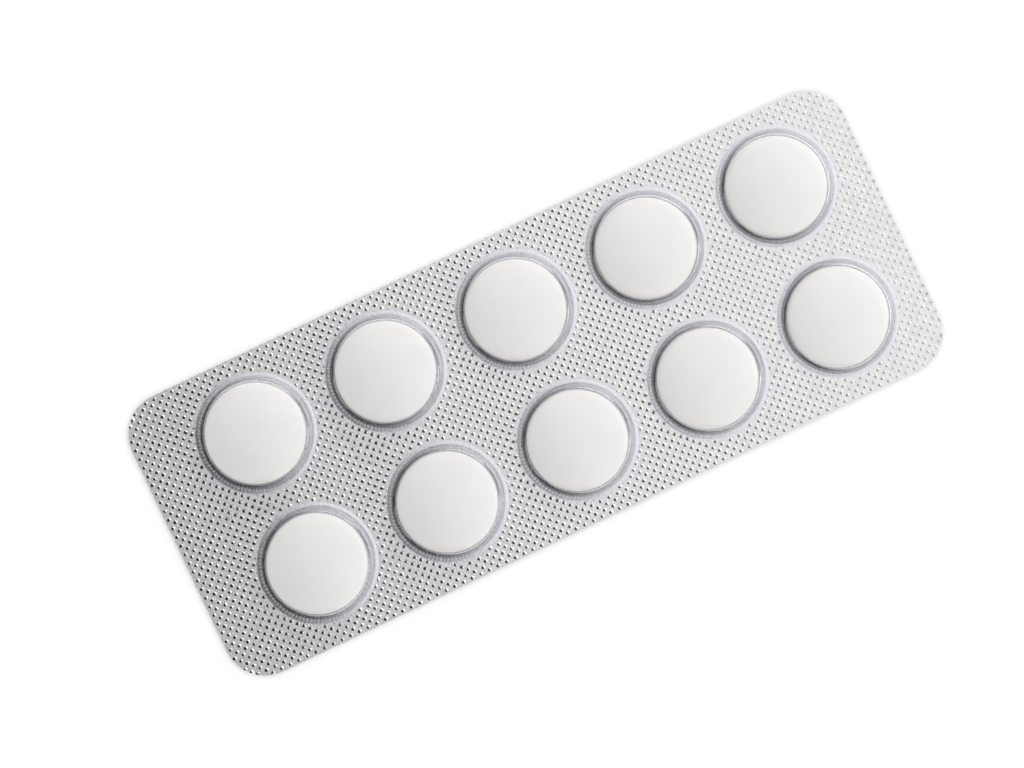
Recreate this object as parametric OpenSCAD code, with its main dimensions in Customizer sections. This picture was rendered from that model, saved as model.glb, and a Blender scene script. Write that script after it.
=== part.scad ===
// Blister card of ten round tablets: a clear formed film with two rows of
// pockets, a foil sealed to its flat land, and one loose tablet in each pocket.
// The frame: X along the card, Y across it, Z up from the foil to the pockets.
// The origin is the middle of the card's outline, on the foil's outer face.

/* [Card] */
// Length of the card
card_l = 93; // [88:0.5:110]
// Width of the card
card_w = 36; // [35:0.5:60]
// Radius of the card's four corners
card_corner_r = 5; // [1:0.5:10]
// Thickness of the foil with its seal lacquer
foil_t = 0.03; // [0.02:0.01:0.2]
// Thickness of the film on the flat land, where it is not stretched
film_t = 0.25; // [0.15:0.05:0.5]

/* [Pockets] */
// Number of pockets along the card
pocket_columns = 5; // [1:1:5]
// Number of pockets across the card
pocket_rows = 2; // [1:1:2]
// Distance between the middles of neighbouring pockets
pocket_pitch = 17; // [16:0.1:17.5]
// How far the pockets sit from the card's middle along X
pocket_shift_x = 1.7; // [-1.7:0.1:1.7]
// How far the pockets sit from the card's middle along Y
pocket_shift_y = 0.3; // [-0.5:0.1:0.5]
// Draft angle of a pocket's wall
pocket_draft = 5; // [1:0.5:8]
// Radius of the bend from the flat land into a pocket's wall, on its upper side
foot_r = 0.5; // [0.2:0.05:0.8]
// Radius of the bend from a pocket's wall into its crown, on its inner side
crown_edge_r = 0.9; // [0.4:0.1:1.4]
// Radius of the sphere that domes a pocket's crown, on its inner side
crown_dome_r = 45; // [30:1:200]
// Thickness of the stretched film in a pocket's wall and crown
pocket_film_t = 0.16; // [0.1:0.01:0.25]

/* [Tablets] */
// Diameter of a tablet
tablet_d = 12; // [10:0.1:12.4]
// Height of a tablet's straight band
tablet_band_h = 2.8; // [1.5:0.1:4]
// Height of a tablet's domed face above its band
tablet_cap_h = 0.9; // [0.3:0.1:1.5]

/* [Fits] */
// Play between a tablet and the pocket's wall at the top of the tablet's band
tablet_side_gap = 0.22; // [0.1:0.01:0.4]
// Play between a tablet's top and the pocket's crown
tablet_top_gap = 0.35; // [0.1:0.05:1]

/* [Hidden] */

round_steps = 96;
dome_steps = 720;

land_bottom_z = foil_t;
land_top_z = foil_t + film_t;

tablet_r = tablet_d / 2;
tablet_h = tablet_band_h + 2 * tablet_cap_h;
tablet_dome_r = (tablet_r ^ 2 + tablet_cap_h ^ 2) / (2 * tablet_cap_h);

// The pocket's cavity is worked out from the tablet: its wall passes the upper
// edge of the tablet's band at the side gap, and its crown passes over its top.
band_top_z = foil_t + tablet_cap_h + tablet_band_h;
cavity_top_z = foil_t + tablet_h + tablet_top_gap;
wall_dir = [-sin(pocket_draft), cos(pocket_draft)];
wall_in = [-cos(pocket_draft), -sin(pocket_draft)];
cavity_edge = [tablet_r + tablet_side_gap, band_top_z];
dome_centre = [0, cavity_top_z - crown_dome_r];

shell_edge = cavity_edge - pocket_film_t * wall_in;

function tablet_name(i) = str("tablet_", i < 10 ? "0" : "", i);

// The point at height z on the sloping line through p
function on_wall(p, z) = p + (z - p[1]) / wall_dir[1] * wall_dir;

// The middle of the circle of radius r that touches the sloping line through p
// from inside, and a dome of radius dome_r about dome_centre from inside too
function edge_centre(p, r, dome_r) =
    let (q = p + r * wall_in - dome_centre, s = q * wall_dir)
    q - (s - sqrt(s ^ 2 - q * q + (dome_r - r) ^ 2)) * wall_dir + dome_centre;

// The middle of the circle of radius r that touches the sloping line through p
// from outside, and the level line at height z from above
function foot_centre(p, r, z) = on_wall(p - r * wall_in, z + r);

function pocket_place(column, row) = [
    pocket_shift_x + (column - (pocket_columns - 1) / 2) * pocket_pitch,
    pocket_shift_y + (row - (pocket_rows - 1) / 2) * pocket_pitch,
    0
];

module card_outline() {
    flat_l = card_l - 2 * card_corner_r;
    flat_w = card_w - 2 * card_corner_r;
    square([card_l, flat_w], center = true);
    square([flat_l, card_w], center = true);
    for (x = [-1, 1], y = [-1, 1])
        translate([x * flat_l / 2, y * flat_w / 2])
            circle(r = card_corner_r, $fn = round_steps);
}

// Half of the section under one face of a pocket, from the height low_z up to
// its crown. The face leaves the land at height z, bends at the foot with radius
// bend_r, climbs the wall through p, bends at the crown's edge with radius
// edge_r, and ends in a dome.
module under_face(p, low_z, z, bend_r, edge_r, dome_r) {
    foot = foot_centre(p, bend_r, z);
    edge = edge_centre(p, edge_r, dome_r);
    wall_low = foot + bend_r * wall_in;
    wall_high = edge - edge_r * wall_in;
    edge_dir = (edge - dome_centre) / norm(edge - dome_centre);
    dome_end = dome_centre + dome_r * edge_dir;
    difference() {
        polygon([
            [0, low_z], [foot[0], low_z], foot, wall_low,
            wall_high, edge, dome_end, [0, dome_end[1]]
        ]);
        translate(foot) circle(r = bend_r, $fn = round_steps);
    }
    translate(edge) circle(r = edge_r, $fn = round_steps);
    intersection() {
        translate(dome_centre) circle(r = dome_r, $fn = dome_steps);
        polygon([
            dome_end, [0, dome_end[1]],
            [0, dome_centre[1] + 2 * dome_r], dome_centre + 2 * dome_r * edge_dir
        ]);
    }
}

module pocket_shell() {
    rotate_extrude($fn = round_steps)
        under_face(
            shell_edge, land_bottom_z, land_top_z, foot_r,
            crown_edge_r + pocket_film_t, crown_dome_r + pocket_film_t
        );
}

// The cavity starts under the film, so that its mouth is cut right through
module pocket_cavity() {
    rotate_extrude($fn = round_steps)
        under_face(
            cavity_edge, 0, land_bottom_z, foot_r + film_t,
            crown_edge_r, crown_dome_r
        );
}

module each_pocket() {
    for (column = [0 : pocket_columns - 1], row = [0 : pocket_rows - 1])
        translate(pocket_place(column, row)) children();
}

module blister_film() {
    color([0.86, 0.88, 0.93, 0.35])
    difference() {
        union() {
            translate([0, 0, land_bottom_z]) linear_extrude(film_t) card_outline();
            each_pocket() pocket_shell();
        }
        each_pocket() pocket_cavity();
    }
}

module lidding_foil() {
    color([0.80, 0.81, 0.83])
        linear_extrude(foil_t) card_outline();
}

module tablet() {
    color([0.95, 0.95, 0.93])
        rotate_extrude($fn = round_steps)
            intersection() {
                translate([0, foil_t]) square([tablet_r, tablet_h]);
                translate([0, foil_t + tablet_dome_r]) circle(r = tablet_dome_r, $fn = dome_steps);
                translate([0, foil_t + tablet_h - tablet_dome_r]) circle(r = tablet_dome_r, $fn = dome_steps);
            }
}

blister_film();
lidding_foil();
for (column = [0 : pocket_columns - 1], row = [0 : pocket_rows - 1]) {
    name = tablet_name(1 + column + pocket_columns * row);
    translate(pocket_place(column, row)) tablet();
}
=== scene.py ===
# %% [markdown]
# # A blister card of ten tablets
#
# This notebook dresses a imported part: a card of clear formed film, sealed to a foil, with ten white
# tablets in its pockets. Everything is in metres, in the part's own frame: X runs along the card,
# Y across it, and Z from the foil up to the pockets. The camera comes first, because the finish of
# a shiny thing can only be judged from where it is seen.

# %% Load the fixed frame
import math

import bpy
import numpy as np
from mathutils import Matrix, Vector
from mathutils.geometry import delaunay_2d_cdt


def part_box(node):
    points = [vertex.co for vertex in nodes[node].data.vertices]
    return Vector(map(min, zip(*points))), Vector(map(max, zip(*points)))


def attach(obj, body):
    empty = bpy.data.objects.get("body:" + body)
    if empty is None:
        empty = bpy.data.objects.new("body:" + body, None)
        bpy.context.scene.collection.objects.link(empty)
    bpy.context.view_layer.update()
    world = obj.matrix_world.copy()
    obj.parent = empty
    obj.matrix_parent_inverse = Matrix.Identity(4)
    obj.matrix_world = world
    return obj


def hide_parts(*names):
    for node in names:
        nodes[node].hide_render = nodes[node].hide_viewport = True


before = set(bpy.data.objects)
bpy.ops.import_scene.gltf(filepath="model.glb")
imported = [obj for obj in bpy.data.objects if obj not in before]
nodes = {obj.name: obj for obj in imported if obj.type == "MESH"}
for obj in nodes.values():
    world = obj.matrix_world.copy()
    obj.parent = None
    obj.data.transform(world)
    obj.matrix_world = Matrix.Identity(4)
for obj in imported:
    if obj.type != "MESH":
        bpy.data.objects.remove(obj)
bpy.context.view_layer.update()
MM = 0.001


def node_box(name):
    """The lowest and the highest corner of a node, as two arrays."""
    low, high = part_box(name)
    return np.array(low), np.array(high)


film_low, film_high = node_box("blister_film")
foil_high = node_box("lidding_foil")[1]
tablet_names = sorted(n for n in nodes if n.startswith("tablet_"))
tablet_boxes = [node_box(n) for n in tablet_names]
print("nodes:", len(nodes), "tablets:", len(tablet_names))

# %% [markdown]
# ## The camera
#
# The card is seen from almost straight above, through a long lens that stands far away, so its
# two rows of pockets look the same size from end to end, and no tablet hides its pocket's wall.
# The place is given as a maker of product pictures would: how far away, how many degrees off the
# vertical, towards which side, and how much the card is turned in the picture.

# %% Camera
PICTURE_W = 1024
LENS_PIXELS = 20000
SENSOR_MM = 36
AIM = Vector((-2.50, 1.10, 0.0)) * MM
DISTANCE = 2362.8 * MM
TILT = math.radians(1.1)
SIDE = math.radians(1.5)
TURN = math.radians(25.36)


def place_camera():
    """Looks at AIM from DISTANCE away: TILT off the vertical towards SIDE, turned by TURN."""
    back = Vector((math.sin(TILT) * math.cos(SIDE), math.sin(TILT) * math.sin(SIDE), math.cos(TILT)))
    right = Vector((math.sin(TURN), math.cos(TURN), 0)).cross(back).normalized()
    up = back.cross(right)
    data = bpy.data.cameras.new("camera")
    data.sensor_width = SENSOR_MM
    data.lens = SENSOR_MM * LENS_PIXELS / PICTURE_W
    data.clip_start = 0.01
    data.clip_end = 10
    camera = bpy.data.objects.new("camera", data)
    axes = Matrix((right, up, back)).transposed().to_4x4()
    camera.matrix_world = Matrix.Translation(AIM + DISTANCE * back) @ axes
    bpy.context.scene.collection.objects.link(camera)
    bpy.context.scene.camera = camera
    return camera


camera = place_camera()
print("lens:", round(camera.data.lens), "mm, distance:", round(DISTANCE, 3), "m")

# %% [markdown]
# ## The knurl as a function
#
# The seal between foil and film is pressed with a knurled plate: tiny square pyramids with sharp
# tips and flat ground between them, in rows turned by 45 degrees to the card. Such a surface could
# be a bump texture, but its facets are what makes the foil sparkle, so here they are real. One
# function of the place gives the height. It serves the foil and again, softer, the film above it.

# %% Knurl values
POCKET_PITCH = 17 * MM
KNURL_PER_PITCH = 15
KNURL_DIAGONAL = POCKET_PITCH / KNURL_PER_PITCH
KNURL_SIDE = KNURL_DIAGONAL / math.sqrt(2)
KNURL_SHIFT = np.array((0.49, 0.22)) * MM
# Where the painted dark specks of reflection sit, beside each pyramid's tip.
PAINTED_SPECK_SHIFT = np.array((0.36, 0.23)) * MM
KNURL_DEPTH = 0.060 * MM
KNURL_BASE = 0.50
KNURL_LUCK = 0.3
SINE_WAYS = (12.9898, 78.233)
SINE_SIZE = 43758.5453
FIRST_POCKET = sum(tablet_boxes[0]) / 2
KNURL_START = FIRST_POCKET[:2] + KNURL_SHIFT


def to_cells(xy):
    """Turns places into cell counts along the lattice's two directions: (x + y) and (y - x),
    each divided by the cell's diagonal. A tip lies wherever both counts are whole."""
    d = xy - KNURL_START
    return np.stack([(d[:, 0] + d[:, 1]), (d[:, 1] - d[:, 0])], 1) / KNURL_DIAGONAL


def from_cells(ab):
    """The inverse of to_cells."""
    x = (ab[:, 0] - ab[:, 1]) * KNURL_DIAGONAL / 2
    y = (ab[:, 0] + ab[:, 1]) * KNURL_DIAGONAL / 2
    return np.stack([x, y], 1) + KNURL_START


def knurl(xy):
    """Height from 0 on the flat ground between the pyramids to about 1 on their tips: one minus
    the larger of the two distances to the nearest tip, as a share of half a pyramid's base. Each
    pyramid has its own height, because a foil never fills the plate evenly: the fraction left
    over by a large sine of its place, which looks random but is the same every time."""
    ab = to_cells(xy)
    tip = np.round(ab)
    off = 2 * np.abs(ab - tip).max(1) / KNURL_BASE
    luck = np.abs(np.sin(tip @ SINE_WAYS) * SINE_SIZE) % 1
    return np.clip(1 - off, 0, 1) * (1 - KNURL_LUCK / 2 + KNURL_LUCK * luck)


print("knurl: pyramids", round(KNURL_SIDE / MM, 3), "mm apart and", KNURL_DEPTH / MM, "mm high")

# %% [markdown]
# ## Flat sheets with a knurled land
#
# Film and foil both start as the same flat drawing: the card's outline, ten round holes where the
# pockets are, and the corners of every knurl facet. A constrained triangulation joins those points,
# so that facets keep their creases and the sheets share one pattern. Each sheet then lifts the
# drawing to its own height.

# %% The card's outline and the pockets' places
CARD_LOW = film_low[:2]
CARD_HIGH = film_high[:2]
CARD_CORNER = 5 * MM
CORNER_STEPS = 16
RING_STEPS = 96
POCKETS = np.array([(low + high)[:2] / 2 for low, high in tablet_boxes])
LAND_HOLE_R = 7.25 * MM


def card_outline(inset=0.0, spacing=0.3 * MM):
    """Points round the card's edge, anticlockwise: quarter circles about the four corner centres,
    joined by straight sides divided evenly, all moved inwards by the inset."""
    low, high = CARD_LOW + CARD_CORNER, CARD_HIGH - CARD_CORNER
    centres = np.array([(high[0], high[1]), (low[0], high[1]), (low[0], low[1]), (high[0], low[1])])
    r = CARD_CORNER - inset
    points = []
    for k, centre in enumerate(centres):
        angle = np.linspace(k, k + 1, CORNER_STEPS + 1) * math.pi / 2
        arc = centre + r * np.stack([np.cos(angle), np.sin(angle)], 1)
        after = centres[(k + 1) % 4] + r * np.array((math.cos(angle[-1]), math.sin(angle[-1])))
        steps = int(np.linalg.norm(after - arc[-1]) / spacing)
        side = np.linspace(arc[-1], after, steps, endpoint=False)[1:]
        points += [arc, side]
    return np.concatenate(points)


def ring(centre, radius, steps=RING_STEPS):
    """Points on a circle: the centre plus the radius times cosine and sine of even angles."""
    angle = np.arange(steps) * 2 * math.pi / steps
    return centre + radius * np.stack([np.cos(angle), np.sin(angle)], 1)


def inside_card(xy, margin):
    """True where a point is at least the margin inside the rounded outline: how far it lies past
    the square of the corner centres, in X and Y together, is less than the corner's radius."""
    middle = (CARD_LOW + CARD_HIGH) / 2
    d = np.abs(xy - middle) - ((CARD_HIGH - CARD_LOW) / 2 - CARD_CORNER)
    return np.hypot(*np.maximum(d, 0).T) + np.minimum(d.max(1), 0) < CARD_CORNER - margin


def pocket_distance(xy):
    """Distance from each point to the middle of the nearest pocket."""
    return np.linalg.norm(xy[:, None] - POCKETS[None], axis=2).min(1)


print("card:", np.round((CARD_HIGH - CARD_LOW) / MM, 2), "mm, pockets:", len(POCKETS))

# %% Draw and triangulate the land
KNURL_EDGE = 0.06 * MM


def facet_corners():
    """The corners of every knurl facet near the card: each pyramid's tip and the four corners of
    its base."""
    reach = int(np.ptp([CARD_LOW, CARD_HIGH], axis=0).sum() / KNURL_DIAGONAL) + 2
    a, b = np.meshgrid(np.arange(-reach, reach), np.arange(-reach, reach))
    tips = np.stack([a.ravel(), b.ravel()], 1)
    half = KNURL_BASE / 2
    offsets = [(0, 0), (half, half), (half, -half), (-half, half), (-half, -half)]
    return np.concatenate([from_cells(tips + np.array(o)) for o in offsets])


def draw_land():
    """Returns the flat points and triangles of the land, and the index of each boundary loop: the
    outline first, then one ring for each pocket."""
    loops = [card_outline()] + [ring(c, LAND_HOLE_R) for c in POCKETS]
    corners = facet_corners()
    keep = inside_card(corners, KNURL_EDGE) & (pocket_distance(corners) > LAND_HOLE_R + KNURL_EDGE)
    points = np.concatenate(loops + [corners[keep]])
    starts = np.cumsum([0] + [len(loop) for loop in loops])
    edges = []
    for start, end in zip(starts[:-1], starts[1:]):
        index = np.arange(start, end)
        edges += list(zip(index.tolist(), np.roll(index, -1).tolist()))
    scale = 1 / MM
    out = delaunay_2d_cdt([Vector(p) for p in (points * scale).tolist()], edges, [], 0, 1e-7)
    xy = np.array([v[:] for v in out[0]]) / scale
    faces = np.array(out[2])
    middle = xy[faces].mean(1)
    faces = faces[inside_card(middle, 0) & (pocket_distance(middle) > LAND_HOLE_R * 0.999)]
    a, b, c = xy[faces[:, 0]], xy[faces[:, 1]], xy[faces[:, 2]]
    turn = (b - a)[:, 0] * (c - a)[:, 1] - (b - a)[:, 1] * (c - a)[:, 0]
    faces[turn < 0] = faces[turn < 0][:, ::-1]
    return xy, faces, [np.arange(s, e) for s, e in zip(starts[:-1], starts[1:])]


land_xy, land_faces, land_loops = draw_land()
print("land points:", len(land_xy), "triangles:", len(land_faces))

# %% [markdown]
# ## From flat drawing to pieces
#
# A closed sheet is two copies of the drawing, one for each face, with a strip of faces round each
# edge. The heights come from the knurl function. A helper puts arrays straight into a mesh, which
# is far quicker than adding points one by one.

# %% Mesh helpers
def make_piece(name, points, faces, smooth):
    """A mesh object from arrays: points, a list of face arrays of 3 or 4 corners each, and for
    each face array whether its faces are shaded smooth."""
    mesh = bpy.data.meshes.new(name)
    loops = np.concatenate([f.ravel() for f in faces]).astype(np.int32)
    sizes = np.concatenate([np.full(len(f), f.shape[1]) for f in faces]).astype(np.int32)
    starts = np.concatenate([[0], np.cumsum(sizes)[:-1]]).astype(np.int32)
    shading = np.concatenate([np.full(len(f), s) for f, s in zip(faces, smooth)])
    mesh.vertices.add(len(points))
    mesh.vertices.foreach_set("co", points.astype(np.float32).ravel())
    mesh.loops.add(len(loops))
    mesh.loops.foreach_set("vertex_index", loops)
    mesh.polygons.add(len(sizes))
    mesh.polygons.foreach_set("loop_start", starts)
    mesh.polygons.foreach_set("loop_total", sizes)
    mesh.polygons.foreach_set("use_smooth", shading)
    mesh.update(calc_edges=True)
    mesh.validate()
    piece = bpy.data.objects.new(name, mesh)
    bpy.context.scene.collection.objects.link(piece)
    return piece


def strip(lower, upper):
    """Quads between two loops of the same length, both anticlockwise seen from above, facing
    outwards when the second loop lies above the first."""
    after_lower, after_upper = np.roll(lower, -1), np.roll(upper, -1)
    return np.stack([lower, after_lower, after_upper, upper], 1)


def lifted(xy, z):
    """Flat points at a height, which is one number or one for each point."""
    return np.column_stack([xy, np.broadcast_to(z, len(xy))])


def smooth_step(x):
    """Rises from 0 to 1 as x does, level at both ends: three x squared less two x cubed."""
    x = np.clip(x, 0, 1)
    return x * x * (3 - 2 * x)


def tell(piece):
    """Prints how many triangles a piece has."""
    piece.data.calc_loop_triangles()
    print(piece.name, "triangles:", len(piece.data.loop_triangles))


# %% [markdown]
# ## The pocket's section
#
# A pocket is drawn once as half a section and turned about its middle. Both faces of the film have
# the same kind of line: flat land, a bend at the foot, a wall that leans in by the draft angle, a
# bend at the crown's edge, and a dome. Arcs that touch their neighbours exactly keep the highlights
# free of kinks, so the centres of the bends are worked out and not guessed. The faint ring in the
# dome is the mark of the plug that pushes the warm film down before air forms it.

# %% Pocket section
TABLET_LOW, TABLET_HIGH = tablet_boxes[0]
TABLET_R = (TABLET_HIGH - TABLET_LOW)[0] / 2
TABLET_H = (TABLET_HIGH - TABLET_LOW)[2]
CAP_H = 0.9 * MM
FOIL_TOP = foil_high[2]
LAND_T = 0.25 * MM
POCKET_T = 0.16 * MM
DRAFT = math.radians(5)
FOOT_R = 0.5 * MM
CROWN_EDGE_R = 0.9 * MM
CROWN_DOME_R = 45 * MM
SIDE_GAP = 0.22 * MM
TOP_GAP = 0.35 * MM
PLUG_MARK_R = 2.5 * MM
PLUG_MARK_W = 0.30 * MM
PLUG_MARK_H = 0.035 * MM
FOOT_STEPS = 7
WALL_STEPS = 4
EDGE_STEPS = 10
OUTER_DOME_STEPS = 20
INNER_DOME_STEPS = 10
WALL_UP = np.array((-math.sin(DRAFT), math.cos(DRAFT)))
WALL_IN = np.array((-math.cos(DRAFT), -math.sin(DRAFT)))
DOME_CENTRE = np.array((0, FOIL_TOP + TABLET_H + TOP_GAP - CROWN_DOME_R))


def arc(centre, radius, start, end, steps):
    """Points on a circle from one angle to another, in radians."""
    angle = np.linspace(start, end, steps + 1)
    return centre + radius * np.stack([np.cos(angle), np.sin(angle)], 1)


def section(wall_point, land_z, foot_r, edge_r, dome_r, dome_steps, mark_h):
    """Half the section of one face of a pocket, from the land's hole to just off the middle:
    the foot's circle touches the land and the wall, and the crown edge's circle touches the wall
    and the dome, both from inside the bend."""
    out = wall_point - foot_r * WALL_IN
    foot = out + (land_z + foot_r - out[1]) / WALL_UP[1] * WALL_UP
    q = wall_point + edge_r * WALL_IN - DOME_CENTRE
    s = q @ WALL_UP
    edge = q - (s - math.sqrt(s * s - q @ q + (dome_r - edge_r) ** 2)) * WALL_UP + DOME_CENTRE
    lean = math.atan2(*(edge - DOME_CENTRE)[::-1])
    land = np.column_stack([np.linspace(LAND_HOLE_R, foot[0], 3)[:-1], np.full(2, land_z)])
    bend = arc(foot, foot_r, -math.pi / 2, DRAFT - math.pi, FOOT_STEPS)
    corner = arc(edge, edge_r, DRAFT, lean, EDGE_STEPS)
    wall = np.linspace(bend[-1], corner[0], WALL_STEPS)[1:-1]
    dome = arc(DOME_CENTRE, dome_r, lean, math.pi / 2, dome_steps)[1:-1]
    dome[:, 1] += mark_h * np.exp(-(((dome[:, 0] - PLUG_MARK_R) / PLUG_MARK_W) ** 2))
    return np.concatenate([land, bend, wall, corner, dome])


band_edge = np.array((TABLET_R + SIDE_GAP, FOIL_TOP + TABLET_H - CAP_H))
outer_section = section(
    band_edge - POCKET_T * WALL_IN, FOIL_TOP + LAND_T, FOOT_R,
    CROWN_EDGE_R + POCKET_T, CROWN_DOME_R + POCKET_T, OUTER_DOME_STEPS, PLUG_MARK_H,
)
inner_section = section(
    band_edge, FOIL_TOP, FOOT_R + LAND_T,
    CROWN_EDGE_R, CROWN_DOME_R, INNER_DOME_STEPS, 0,
)
print("section points:", len(outer_section), "crown at", round(outer_section[-1, 1] / MM, 3), "mm")

# %% [markdown]
# ## Film and foil
#
# The film is one closed shell: knurled land above, knurled land below, a cut edge, and ten pockets
# whose two faces are turned from the sections. The knurl fades out at the pockets, because the
# sealing plate is bored clear of them. The foil is the same drawing again, closed across the
# pockets, where nothing has pressed it. It sits a few thousandths of a millimetre under the film,
# so that the two faces never fight for the same place.

# %% Build the film
FILM_RELIEF = 0.12
KNURL_FADE = 0.18 * MM
KNURL_EASE = 0.72


def along_card(x):
    """Rises smoothly from 0 at the card's left end to 1 at its right end."""
    return smooth_step((x - CARD_LOW[0]) / (CARD_HIGH - CARD_LOW)[0])


def relief(xy, depth):
    """The knurl's height in metres, faded out beside the pockets and at the card's cut edge, and
    pressed less deeply towards the card's right end."""
    clear = smooth_step((pocket_distance(xy) - LAND_HOLE_R) / KNURL_FADE)
    pressed = 1 - KNURL_EASE * along_card(xy[:, 0])
    return depth * pressed * clear * inside_card(xy, KNURL_EDGE) * knurl(xy)


def turned(rings_rz, loop, start, upward):
    """Turns a section about a pocket's middle. The land's own loop is its first ring, so only the
    later rings are new points, numbered from start, and one last point closes the pole."""
    steps = len(loop)
    angle = np.arange(steps) * 2 * math.pi / steps
    circle = np.stack([np.cos(angle), np.sin(angle)], 1)
    body = rings_rz[1:]
    points = np.concatenate([lifted(r * circle, z) for r, z in body])
    index = np.concatenate([loop[None], start + np.arange(steps * len(body)).reshape(len(body), steps)])
    quads = np.concatenate([strip(a, b) for a, b in zip(index[:-1], index[1:])])
    pole = start + len(points)
    fan = np.column_stack([index[-1], np.roll(index[-1], -1), np.full(steps, pole)])
    points = np.vstack([points, (0, 0, DOME_CENTRE[1] + np.hypot(*(body[-1] - DOME_CENTRE)))])
    if not upward:
        quads, fan = quads[:, ::-1], fan[:, ::-1]
    return points, quads, fan


def build_film():
    """The closed shell of the film."""
    count = len(land_xy)
    top = lifted(land_xy, FOIL_TOP + LAND_T + relief(land_xy, FILM_RELIEF * KNURL_DEPTH))
    low = lifted(land_xy, FOIL_TOP + relief(land_xy, KNURL_DEPTH))
    points = [top, low]
    flat = [land_faces, land_faces[:, ::-1] + count]
    curved = []
    fans = []
    edge = strip(land_loops[0] + count, land_loops[0])
    total = 2 * count
    for centre, loop in zip(POCKETS, land_loops[1:]):
        for profile, first, upward in ((outer_section, loop, True), (inner_section, loop + count, False)):
            more, quads, fan = turned(profile, first, total, upward)
            more[:, :2] += centre
            points.append(more)
            curved.append(quads)
            fans.append(fan)
            total += len(more)
    faces = flat + [edge] + curved + fans
    smooth = [False] * 3 + [True] * (len(curved) + len(fans))
    return make_piece("formed_film", np.concatenate(points), faces, smooth)


film = build_film()
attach(film, "root")
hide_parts("blister_film")
tell(film)

# %% [markdown]
# Under a pocket nothing has pressed the foil. It swells up a few hundredths of a millimetre round
# the tablet, less so towards the card's right end. The swell is in the mesh. On the side away from
# the lamp, where the swell is seen through the wall, the material adds fine dark ticks of painted
# shade, so the mesh only carries a value that sways from point to point.

# %% Build the foil
FOIL_GAP = 0.004 * MM
DISC_RINGS = np.array((6.95, 6.6, 6.25, 5.8, 5.2, 3.6, 1.9)) * MM
DISC_LIFT = np.array((0.005, 0.022, 0.045, 0.065, 0.055, 0, 0)) * MM
# Painted shade ticks: their strength on each ring, and the side away from the lamp that they face.
DISC_PAINTED_TICKS = np.array((0.6, 1, 0.6, 0, 0, 0, 0))
DISC_PAINTED_TICKS_TO = math.radians(200)
DISC_EASE = 0.8


def build_foil():
    """The closed sheet of the foil: the drawing twice, with swelling rings inside each pocket.
    Two values go with each point: sealed, from 0 in a pocket to 1 on the land, and the tick value
    for painted shade, which is one half plus or minus a share, by turns, where the ticks are, and
    one half elsewhere."""
    count = len(land_xy)
    height = relief(land_xy, KNURL_DEPTH)
    points = [lifted(land_xy, FOIL_TOP - FOIL_GAP + height), lifted(land_xy, height)]
    faces = [land_faces, land_faces[:, ::-1] + count, strip(land_loops[0] + count, land_loops[0])]
    total = 2 * count
    steps = RING_STEPS
    painted_ticks = [np.full(total, 0.5)]
    angle = np.arange(steps) * 2 * math.pi / steps
    sway = (np.arange(steps) % 2 - 0.5) * np.maximum(np.cos(angle - DISC_PAINTED_TICKS_TO), 0)
    for centre, loop in zip(POCKETS, land_loops[1:]):
        eased = 1 - DISC_EASE * along_card(centre[0])
        for first, z, flip in ((loop, FOIL_TOP - FOIL_GAP, False), (loop + count, 0.0, True)):
            rings = [lifted(ring(centre, r), z + lift * eased) for r, lift in zip(DISC_RINGS, DISC_LIFT)]
            painted_ticks += [0.5 + share * eased * sway for share in DISC_PAINTED_TICKS] + [np.array([0.5])]
            index = np.concatenate([first[None], total + np.arange(len(rings) * steps).reshape(-1, steps)])
            quads = np.concatenate([strip(a, b) for a, b in zip(index[:-1], index[1:])])
            pole = total + len(rings) * steps
            fan = np.column_stack([index[-1], np.roll(index[-1], -1), np.full(steps, pole)])
            points += rings + [np.array([(*centre, z)])]
            faces += [quads[:, ::-1], fan[:, ::-1]] if flip else [quads, fan]
            total = pole + 1
    piece = make_piece("sealed_foil", np.concatenate(points), faces, [False] * len(faces))
    sealed = smooth_step((pocket_distance(land_xy) - LAND_HOLE_R) / KNURL_FADE)
    mask = piece.data.attributes.new("sealed", "FLOAT", "POINT")
    mask.data.foreach_set("value", np.concatenate([sealed, sealed, np.zeros(total - 2 * count)]))
    # The value that places the painted shade ticks.
    painted_tick = piece.data.attributes.new("painted_tick", "FLOAT", "POINT")
    painted_tick.data.foreach_set("value", np.concatenate(painted_ticks))
    return piece


foil = build_foil()
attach(foil, "root")
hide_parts("lidding_foil")
tell(foil)

# %% [markdown]
# ## The tablets
#
# A pressed tablet is a short cylinder between two shallow domes. Punches leave a tiny rounded rim
# where band and dome meet, and that rim is what catches the light, so the section has it. One
# section serves all ten, and only its place differs.

# %% Build the tablets
RIM_R = 0.40 * MM
TABLET_STEPS = 128


def tablet_section():
    """From the lower pole to the upper one: dome, rim, band, rim, dome. The rim's circle touches
    the band from inside and the dome from inside."""
    dome_r = (TABLET_R**2 + CAP_H**2) / (2 * CAP_H)
    centre = np.array((0, TABLET_H - dome_r))
    reach = dome_r - RIM_R
    rim_x = TABLET_R - RIM_R
    rim = np.array((rim_x, centre[1] + math.sqrt(reach**2 - rim_x**2)))
    lean = math.atan2(*(rim - centre)[::-1])
    corner = arc(rim, RIM_R, 0, lean, 8)
    dome = arc(centre, dome_r, lean, math.pi / 2, 20)[1:-1]
    upper = np.concatenate([corner, dome])
    lower = upper[::-1] * (1, -1) + (0, TABLET_H)
    band = np.linspace(lower[-1], upper[0], 6)[1:-1]
    return np.concatenate([lower, band, upper])


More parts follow.
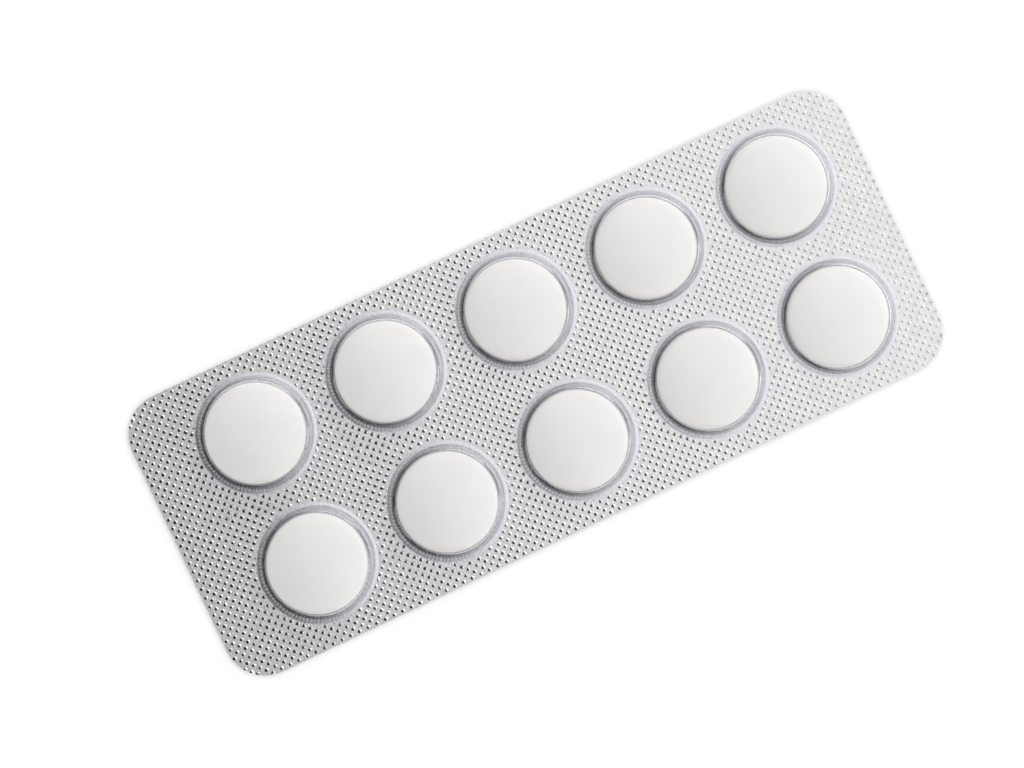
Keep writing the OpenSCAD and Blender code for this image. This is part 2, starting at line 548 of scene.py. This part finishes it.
def build_tablet(name, low, high):
    """Turns the section about the tablet's middle and closes both poles with a fan."""
    profile = tablet_section()
    steps = TABLET_STEPS
    middle = (low + high)[:2] / 2
    rings = [lifted(ring(middle, r, steps), low[2] + z) for r, z in profile]
    index = np.arange(len(rings) * steps).reshape(-1, steps)
    quads = np.concatenate([strip(a, b) for a, b in zip(index[:-1], index[1:])])
    bottom, top = index.size, index.size + 1
    upper = np.column_stack([index[-1], np.roll(index[-1], -1), np.full(steps, top)])
    lower = np.column_stack([np.roll(index[0], -1), index[0], np.full(steps, bottom)])
    poles = np.array([(*middle, low[2]), (*middle, high[2])])
    piece = make_piece(name, np.concatenate(rings + [poles]), [quads, upper, lower], [True] * 3)
    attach(piece, "root")
    tell(piece)
    return piece


tablets = []
for name, (low, high) in zip(tablet_names, tablet_boxes):
    tablet = build_tablet("pressed_" + name, low, high)
    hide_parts(name)
    tablets.append(tablet)

# %% [markdown]
# ## Materials
#
# Three finishes carry the picture: bright foil, clear film and matte powder. Object coordinates
# are in metres, so noise scales are given as the number of grains in a metre. A few helpers keep
# the materials short: one puts a value or a link into a socket, and the rest each add one node.

# %% Node helpers
def new_material(name):
    """A node material with its Principled shader, its output and its Object coordinates."""
    material = bpy.data.materials.new(name)
    material.use_nodes = True
    tree = material.node_tree
    tree.nodes.clear()
    output = tree.nodes.new("ShaderNodeOutputMaterial")
    shader = tree.nodes.new("ShaderNodeBsdfPrincipled")
    place = tree.nodes.new("ShaderNodeTexCoord")
    tree.links.new(shader.outputs["BSDF"], output.inputs["Surface"])
    return material, tree, shader, place.outputs["Object"]


def put(tree, value, socket):
    """Links an output to a socket, or writes a plain value there."""
    if isinstance(value, bpy.types.NodeSocket):
        tree.links.new(value, socket)
    else:
        socket.default_value = value


def step(tree, kind, operation, *values):
    """Adds a node that reckons, a Math or a VectorMath one, with its values in order."""
    node = tree.nodes.new("ShaderNode" + kind)
    node.operation = operation
    for socket, value in zip(node.inputs, values):
        put(tree, value, socket)
    return node


def number(tree, operation, *values):
    """One step of reckoning with numbers, as an output."""
    return step(tree, "Math", operation, *values).outputs[0]


def ramp(tree, value, start, end, low, high, kind="LINEAR"):
    """Turns a value between start and end into one between low and high."""
    node = tree.nodes.new("ShaderNodeMapRange")
    node.interpolation_type = kind
    for label, bound in (("From Min", start), ("From Max", end), ("To Min", low), ("To Max", high)):
        node.inputs[label].default_value = bound
    tree.links.new(value, node.inputs["Value"])
    return node.outputs["Result"]


def blend(tree, factor, first, second, kind="MIX"):
    """Mixes two colours: the first where the factor is 0 and the second where it is 1."""
    node = tree.nodes.new("ShaderNodeMix")
    node.data_type = "RGBA"
    node.blend_type = kind
    for port, value in (("Factor", factor), (6, first), (7, second)):
        put(tree, value, node.inputs[port])
    return node.outputs[2]


# %% [markdown]
# Powder, rolled metal and moulded plastic all have a fine grain, so one shader group makes it for
# the three of them. Each material then sets its own scales and shades.

# %% The grain group
def new_group(name, inputs, outputs):
    """A shader group with its sockets, its input node and its output node."""
    group = bpy.data.node_groups.new(name, "ShaderNodeTree")
    for label, kind, value in inputs:
        socket = group.interface.new_socket(label, in_out="INPUT", socket_type="NodeSocket" + kind)
        if value is not None:
            socket.default_value = value
    for label, kind in outputs:
        group.interface.new_socket(label, in_out="OUTPUT", socket_type="NodeSocket" + kind)
    return group, group.nodes.new("NodeGroupInput"), group.nodes.new("NodeGroupOutput")


def grain_group():
    """A fine grain: two noises of different scale, mixed into one mask, which also comes out as a
    colour between two shades and as a bumped normal."""
    group, source, result = new_group(
        "grain",
        (
            ("Vector", "Vector", None), ("Coarse", "Float", 900.0), ("Fine", "Float", 5000.0),
            ("Dark", "Color", (0.8, 0.8, 0.8, 1)), ("Light", "Color", (0.9, 0.9, 0.9, 1)),
            ("Relief", "Float", 0.00001), ("Strength", "Float", 0.5),
        ),
        (("Color", "Color"), ("Mask", "Float"), ("Normal", "Vector")),
    )
    both = group.nodes.new("ShaderNodeMix")
    for port, socket in (("Coarse", both.inputs[2]), ("Fine", both.inputs[3])):
        noise = group.nodes.new("ShaderNodeTexNoise")
        noise.inputs["Detail"].default_value = 3
        group.links.new(source.outputs["Vector"], noise.inputs["Vector"])
        group.links.new(source.outputs[port], noise.inputs["Scale"])
        group.links.new(noise.outputs["Fac"], socket)
    mask = both.outputs[0]
    bump = group.nodes.new("ShaderNodeBump")
    group.links.new(mask, bump.inputs["Height"])
    group.links.new(source.outputs["Relief"], bump.inputs["Distance"])
    group.links.new(source.outputs["Strength"], bump.inputs["Strength"])
    shade = blend(group, mask, source.outputs["Dark"], source.outputs["Light"])
    group.links.new(shade, result.inputs["Color"])
    group.links.new(mask, result.inputs["Mask"])
    group.links.new(bump.outputs["Normal"], result.inputs["Normal"])
    return group


GRAIN = grain_group()


def add_grain(tree, vector, **values):
    """Places the grain group in a material with its own values."""
    node = tree.nodes.new("ShaderNodeGroup")
    node.node_tree = GRAIN
    tree.links.new(vector, node.inputs["Vector"])
    for label, value in values.items():
        node.inputs[label].default_value = value
    return node


print("grain group nodes:", len(GRAIN.nodes))

# %% [markdown]
# Each pyramid of the knurl has a dark speck beside its tip, where a facet looks into the dark side
# of the room. The real facets give most of it. A second group finds the same lattice in the
# material, deepens those specks with painted dark reflection, and gives each cell a luck of its own
# for its hue.

# %% The painted speck group
# How much the painted dark specks differ in size from cell to cell.
PAINTED_SPECK_LUCK = 0.5


def painted_speck_and_luck_group():
    """A place is turned into cell counts as to_cells does, and rounding gives the nearest lattice
    point. White noise on that point is the cell's luck, which makes its painted speck up to a
    quarter larger or smaller. The speck, a painted dark reflection, is where the distance to the
    point is under the radius."""
    group, source, result = new_group(
        "knurl_painted_speck_and_luck",
        (("Vector", "Vector", None), ("Radius", "Float", 0.15), ("Edge", "Float", 0.06)),
        (("Painted Speck", "Float"), ("Luck", "Float")),
    )
    start = (*(FIRST_POCKET[:2] + PAINTED_SPECK_SHIFT), 0.0)
    from_start = step(group, "VectorMath", "SUBTRACT", source.outputs["Vector"], start).outputs[0]
    cells = group.nodes.new("ShaderNodeCombineXYZ")
    for socket, way in zip(cells.inputs, ((1.0, 1.0, 0.0), (-1.0, 1.0, 0.0))):
        per_cell = tuple(w / KNURL_DIAGONAL for w in way)
        along = step(group, "VectorMath", "DOT_PRODUCT", from_start, per_cell)
        group.links.new(along.outputs["Value"], socket)
    shifted = step(group, "VectorMath", "ADD", cells.outputs[0], (0.5, 0.5, 0.5)).outputs[0]
    nearest = step(group, "VectorMath", "FLOOR", shifted).outputs[0]
    off = step(group, "VectorMath", "SUBTRACT", cells.outputs[0], nearest).outputs[0]
    distance = step(group, "VectorMath", "LENGTH", off).outputs["Value"]
    luck = group.nodes.new("ShaderNodeTexWhiteNoise")
    group.links.new(nearest, luck.inputs["Vector"])
    share = number(group, "MULTIPLY_ADD", luck.outputs["Value"], PAINTED_SPECK_LUCK, 1 - PAINTED_SPECK_LUCK / 2)
    radius = number(group, "MULTIPLY", source.outputs["Radius"], share)
    past = number(group, "SUBTRACT", distance, radius)
    painted_speck = number(group, "SUBTRACT", 1.0, number(group, "DIVIDE", past, source.outputs["Edge"]))
    clamp = group.nodes.new("ShaderNodeClamp")
    group.links.new(painted_speck, clamp.inputs["Value"])
    group.links.new(clamp.outputs[0], result.inputs["Painted Speck"])
    group.links.new(luck.outputs["Value"], result.inputs["Luck"])
    return group


PAINTED_SPECK_AND_LUCK = painted_speck_and_luck_group()
print("speck group nodes:", len(PAINTED_SPECK_AND_LUCK.nodes))


# %% Tablet powder
def tablet_material():
    """Pressed powder: matte and slightly warm, with soft blotches about four millimetres wide and
    a fine grain. The blotches follow the place on the card, so no two tablets are alike."""
    material, tree, shader, vector = new_material("pressed_powder")
    grain = add_grain(
        tree, vector, Coarse=260.0, Fine=7000.0,
        Dark=(0.815, 0.80, 0.778, 1), Light=(0.92, 0.91, 0.89, 1), Relief=0.00002, Strength=0.35,
    )
    tree.links.new(grain.outputs["Color"], shader.inputs["Base Color"])
    tree.links.new(grain.outputs["Normal"], shader.inputs["Normal"])
    shader.inputs["Roughness"].default_value = 0.75
    shader.inputs["Specular IOR Level"].default_value = 0.3
    return material


# %% [markdown]
# The foil is hard aluminium. Its colour is built up in layers: the grain of the rolls, a slightly
# different hue for each cell of the knurl, a cool lacquer where the foil isn't sealed, and at last
# the painted dark specks of reflection and the painted shade ticks under the pockets' edges.

# %% Foil
# Painted dark specks of reflection on the knurl: their size, their soft edge, and their strength from the
# card's left end, where the room is dark, to none at its right end. Then the strength of the painted shade
# ticks.
PAINTED_SPECK_RADIUS = 0.165
PAINTED_SPECK_EDGE = 0.07
PAINTED_SPECK_DEPTH_LEFT = 1.1
PAINTED_SPECK_DEPTH_RIGHT = 0.0
PAINTED_TICK_DEPTH = 0.7
CELL_COOL = (0.91, 0.915, 0.935, 1)
CELL_WARM = (0.985, 0.98, 0.965, 1)
LACQUER = (0.93, 0.93, 0.98, 1)
# The colour of the painted dark specks and of the painted shade ticks.
PAINTED_DARK = (0.02, 0.02, 0.025, 1)


def attribute(tree, name):
    """A value that the mesh carries for each of its points."""
    node = tree.nodes.new("ShaderNodeAttribute")
    node.attribute_name = name
    return node.outputs["Fac"]


def foil_painted_dark(tree, vector, cell, sealed):
    """How dark the foil is painted: the specks of painted dark reflection on the sealed land, weaker
    towards the card's right end, and the ticks of painted shade, darkest where the mesh's tick value
    is furthest from a half."""
    split = tree.nodes.new("ShaderNodeSeparateXYZ")
    tree.links.new(vector, split.inputs[0])
    depth = ramp(tree, split.outputs["X"], CARD_LOW[0], CARD_HIGH[0], PAINTED_SPECK_DEPTH_LEFT, PAINTED_SPECK_DEPTH_RIGHT)
    painted_speck = number(tree, "MULTIPLY", number(tree, "MULTIPLY", cell.outputs["Painted Speck"], sealed), depth)
    swing = number(tree, "MULTIPLY_ADD", attribute(tree, "painted_tick"), 2.0, -1.0)
    return number(tree, "MULTIPLY_ADD", number(tree, "ABSOLUTE", swing), PAINTED_TICK_DEPTH, painted_speck)


def foil_material():
    """Bright hard foil: metal, with a grain stretched along the card where the rolls have run."""
    material, tree, shader, vector = new_material("bright_foil")
    stretch = tree.nodes.new("ShaderNodeMapping")
    stretch.inputs["Scale"].default_value = (0.6, 1, 1)
    tree.links.new(vector, stretch.inputs["Vector"])
    grain = add_grain(
        tree, stretch.outputs["Vector"], Coarse=1800.0, Fine=6000.0,
        Dark=(0.80, 0.802, 0.815, 1), Light=(0.98, 0.977, 0.96, 1), Relief=0.00003, Strength=1.0,
    )
    cell = tree.nodes.new("ShaderNodeGroup")
    cell.node_tree = PAINTED_SPECK_AND_LUCK
    cell.inputs["Radius"].default_value = PAINTED_SPECK_RADIUS
    cell.inputs["Edge"].default_value = PAINTED_SPECK_EDGE
    tree.links.new(vector, cell.inputs["Vector"])
    sealed = attribute(tree, "sealed")
    hue = blend(tree, cell.outputs["Luck"], CELL_COOL, CELL_WARM)
    tint = blend(tree, sealed, LACQUER, hue)
    plain = blend(tree, 1.0, grain.outputs["Color"], tint, "MULTIPLY")
    # Painted dark reflection and painted shade laid over the foil's own colour.
    colour = blend(tree, foil_painted_dark(tree, vector, cell, sealed), plain, PAINTED_DARK)
    rough = ramp(tree, grain.outputs["Mask"], 0, 1, 0.12, 0.20)
    tree.links.new(colour, shader.inputs["Base Color"])
    tree.links.new(rough, shader.inputs["Roughness"])
    tree.links.new(grain.outputs["Normal"], shader.inputs["Normal"])
    shader.inputs["Metallic"].default_value = 1
    return material


# %% [markdown]
# The film is clear rigid plastic. It has two real faces, so it bends light at the pockets' edges as
# the real one does. Where it was drawn into a wall it is a little cloudy, so slanted faces are less
# sharp, and they take on a faint violet tint.

# %% Film
FILM_CLEAR = 0.03
FILM_CLOUDY = 0.20
FILM_SLANT = (0.955, 0.945, 0.985, 1)
FILM_IOR = 1.53


def film_material():
    """Clear plastic: transmission with its index, tinted and cloudier on slanted faces."""
    material, tree, shader, vector = new_material("clear_film")
    grain = add_grain(
        tree, vector, Coarse=120.0, Fine=700.0,
        Dark=(0.985, 0.985, 0.99, 1), Light=(1, 1, 1, 1), Relief=0.00004, Strength=0.3,
    )
    slant = tree.nodes.new("ShaderNodeLayerWeight")
    slant.inputs["Blend"].default_value = 0.5
    tint = blend(tree, slant.outputs["Facing"], grain.outputs["Color"], FILM_SLANT)
    rough = ramp(tree, slant.outputs["Facing"], 0, 1, FILM_CLEAR, FILM_CLOUDY)
    tree.links.new(tint, shader.inputs["Base Color"])
    tree.links.new(grain.outputs["Normal"], shader.inputs["Normal"])
    tree.links.new(rough, shader.inputs["Roughness"])
    shader.inputs["Transmission Weight"].default_value = 1
    shader.inputs["IOR"].default_value = FILM_IOR
    return material


# %% Dress the pieces
def dress(piece, material):
    """Gives a piece its one material."""
    piece.data.materials.clear()
    piece.data.materials.append(material)
    print(piece.name, "wears", material.name)


dress(film, film_material())
dress(foil, foil_material())
powder = tablet_material()
for tablet in tablets:
    dress(tablet, powder)

# %% [markdown]
# ## Light and floor
#
# The card was pictured on white, with a large soft lamp on its right and a darker room on its left.
# A mirror-like foil shows exactly that: each pyramid of the knurl has two facets that see the dark
# side and two that see the lamp's side, so it turns into a dark speck beside a bright one, which the
# foil's material deepens with painted dark reflection, and the flat ground between them shows the
# pale ceiling. A photographer darkens one side with a grey card beside the product. The same is done
# here with a sheet that only mirrors and glass can see.

# %% World
WORLD_LIGHT = 0.8


def seen_directly(tree):
    """A value of 1 for rays from the camera, from gloss and through glass, and 0 for the rest."""
    path = tree.nodes.new("ShaderNodeLightPath")
    mirrored = number(tree, "MAXIMUM", path.outputs["Is Camera Ray"], path.outputs["Is Glossy Ray"])
    return number(tree, "MAXIMUM", mirrored, path.outputs["Is Transmission Ray"])


def pale_world():
    """A world that looks white, and lights matte things a little less than that."""
    world = bpy.data.worlds.new("pale_room")
    bpy.context.scene.world = world
    world.use_nodes = True
    tree = world.node_tree
    background = tree.nodes["Background"]
    background.inputs["Color"].default_value = (1, 1, 1, 1)
    strength = ramp(tree, seen_directly(tree), 0, 1, WORLD_LIGHT, 1, "SMOOTHSTEP")
    tree.links.new(strength, background.inputs["Strength"])
    print("world:", world.name, "lights matte things at", WORLD_LIGHT)


pale_world()

# %% Lamp
LAMP_SIDE = Vector((0.978, 0.208, 0))
LAMP_DISTANCE = 0.70
LAMP_HEIGHT = math.radians(40)
LAMP_SIZE = 0.90
LAMP_WATTS = 1.7


def soft_lamp():
    """A square soft lamp that looks at the card's middle from its side and height."""
    aim = Vector((*((CARD_LOW + CARD_HIGH) / 2), 0))
    way = LAMP_SIDE.normalized() * math.cos(LAMP_HEIGHT) + Vector((0, 0, math.sin(LAMP_HEIGHT)))
    data = bpy.data.lights.new("soft_lamp", "AREA")
    data.shape = "SQUARE"
    data.size = LAMP_SIZE
    data.energy = LAMP_WATTS
    lamp = bpy.data.objects.new("soft_lamp", data)
    turned_to = way.to_track_quat("Z", "Y").to_matrix().to_4x4()
    lamp.matrix_world = Matrix.Translation(aim + LAMP_DISTANCE * way) @ turned_to
    lamp.visible_glossy = False
    bpy.context.scene.collection.objects.link(lamp)
    print("lamp:", LAMP_WATTS, "W at", LAMP_DISTANCE, "m")


soft_lamp()

# %% Shade sheet
SHADE_HEIGHT = 0.60
SHADE_LOW = (-1.70, -1.60)
SHADE_HIGH = (0.09, 1.60)
SHADE_DARK_X = -0.22
SHADE_PALE_X = 0.06
SHADE_DARK = 0.02
SHADE_MATTE = 0.62


def level_sheet(name, low, high, z):
    """A flat sheet with two corners given, at a height. It faces up."""
    corners = np.array([(low[0], low[1]), (high[0], low[1]), (high[0], high[1]), (low[0], high[1])])
    return make_piece(name, lifted(corners, z), [np.array([[0, 1, 2, 3]])], [False])


def shade_sheet():
    """A sheet above the card's left side that goes from white to nearly black along X, so it has
    no edge that shows. It casts no shadow, and the camera doesn't see it. For light on its way to
    matte things it is a middle grey, or the tablets would lose their light through the film."""
    sheet = level_sheet("shade_sheet", SHADE_LOW, SHADE_HIGH, SHADE_HEIGHT)
    material = bpy.data.materials.new("shade_ramp")
    material.use_nodes = True
    tree = material.node_tree
    tree.nodes.clear()
    output = tree.nodes.new("ShaderNodeOutputMaterial")
    glow = tree.nodes.new("ShaderNodeEmission")
    place = tree.nodes.new("ShaderNodeTexCoord")
    split = tree.nodes.new("ShaderNodeSeparateXYZ")
    path = tree.nodes.new("ShaderNodeLightPath")
    tree.links.new(place.outputs["Object"], split.inputs[0])
    shade = ramp(tree, split.outputs["X"], SHADE_DARK_X, SHADE_PALE_X, SHADE_DARK, 1, "SMOOTHSTEP")
    matte = ramp(tree, path.outputs["Diffuse Depth"], 0, 1, 0, SHADE_MATTE, "SMOOTHSTEP")
    tree.links.new(number(tree, "MAXIMUM", shade, matte), glow.inputs["Strength"])
    tree.links.new(glow.outputs[0], output.inputs["Surface"])
    material.cycles.emission_sampling = "NONE"
    sheet.visible_camera = sheet.visible_diffuse = sheet.visible_shadow = False
    dress(sheet, material)


shade_sheet()

# %% Floor
FLOOR_HALF = 1.5
FLOOR_Z = -0.02 * MM
FLOOR_WHITE = (0.9, 0.9, 0.9, 1)
FLOOR_GLOW = 0.18


def white_floor():
    """A wide white sheet just under the foil. It takes the card's shadow, and rays that come
    straight from the camera, from gloss or through the film see it with a little light of its own."""
    floor = level_sheet("floor", (-FLOOR_HALF, -FLOOR_HALF), (FLOOR_HALF, FLOOR_HALF), FLOOR_Z)
    material = bpy.data.materials.new("floor_white")
    material.use_nodes = True
    tree = material.node_tree
    shader = tree.nodes["Principled BSDF"]
    shader.inputs["Base Color"].default_value = FLOOR_WHITE
    shader.inputs["Roughness"].default_value = 0.9
    shader.inputs["Specular IOR Level"].default_value = 0
    shader.inputs["Emission Color"].default_value = (1, 1, 1, 1)
    glow = ramp(tree, seen_directly(tree), 0, 1, 0, FLOOR_GLOW, "SMOOTHSTEP")
    tree.links.new(glow, shader.inputs["Emission Strength"])
    dress(floor, material)


white_floor()

# %% [markdown]
# ## Last settings
#
# Standard keeps colours as they are written, and the blur that Cycles puts on glossy light to
# spare noise is turned off.

# %% View and finish
bpy.context.scene.view_settings.view_transform = "Standard"
bpy.context.scene.cycles.blur_glossy = 0
